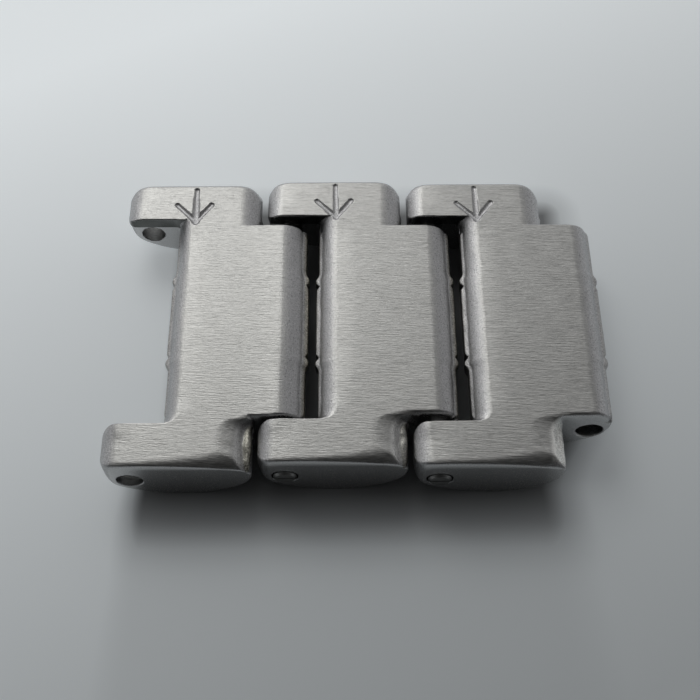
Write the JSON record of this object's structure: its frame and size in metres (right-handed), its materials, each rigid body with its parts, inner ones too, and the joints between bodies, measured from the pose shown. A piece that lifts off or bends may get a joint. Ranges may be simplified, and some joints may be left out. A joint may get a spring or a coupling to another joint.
{
  "type": "watch bracelet link",
  "caption": "Watch bracelet links with ears, tongues and engraved arrows, hinged together on split pins.",
  "frame": {"origin": "on the axis of the empty pin hole in the first link's ears, halfway across the width", "axes": "+X along the bracelet towards the free tongue, -Y the way the arrows point and the pins come out, +Z out of the flat wrist face"},
  "size_m": [0.0266, 0.0183, 0.0037],
  "materials": {
    "link_steel": "brushed along the bracelet, tumbled edges",
    "pin_steel": "plain drawn wire"
  },
  "bodies": {
    "first_link": {"link_1": "link_steel"},
    "second_link": {"link_2": "link_steel"},
    "third_link": {"link_3": "link_steel"},
    "first_pin": {"split_pin_1": "pin_steel"},
    "second_pin": {"split_pin_2": "pin_steel"}
  },
  "joints": [
    {"name": "link_hinge_1", "type": "hinge", "parent": "first_link", "child": "second_link", "pos_m": [0.008, 0, 0], "axis": [0, -1, 0], "range_deg": [-75, 16]},
    {"name": "link_hinge_2", "type": "hinge", "parent": "second_link", "child": "third_link", "pos_m": [0.016, 0, 0], "axis": [0, -1, 0], "range_deg": [-75, 16]},
    {"name": "pin_push_1", "type": "slide", "parent": "second_link", "child": "first_pin", "axis": [0, -1, 0], "range_m": [0, 0.0165]},
    {"name": "pin_push_2", "type": "slide", "parent": "third_link", "child": "second_pin", "axis": [0, -1, 0], "range_m": [0, 0.0165]}
  ]
}
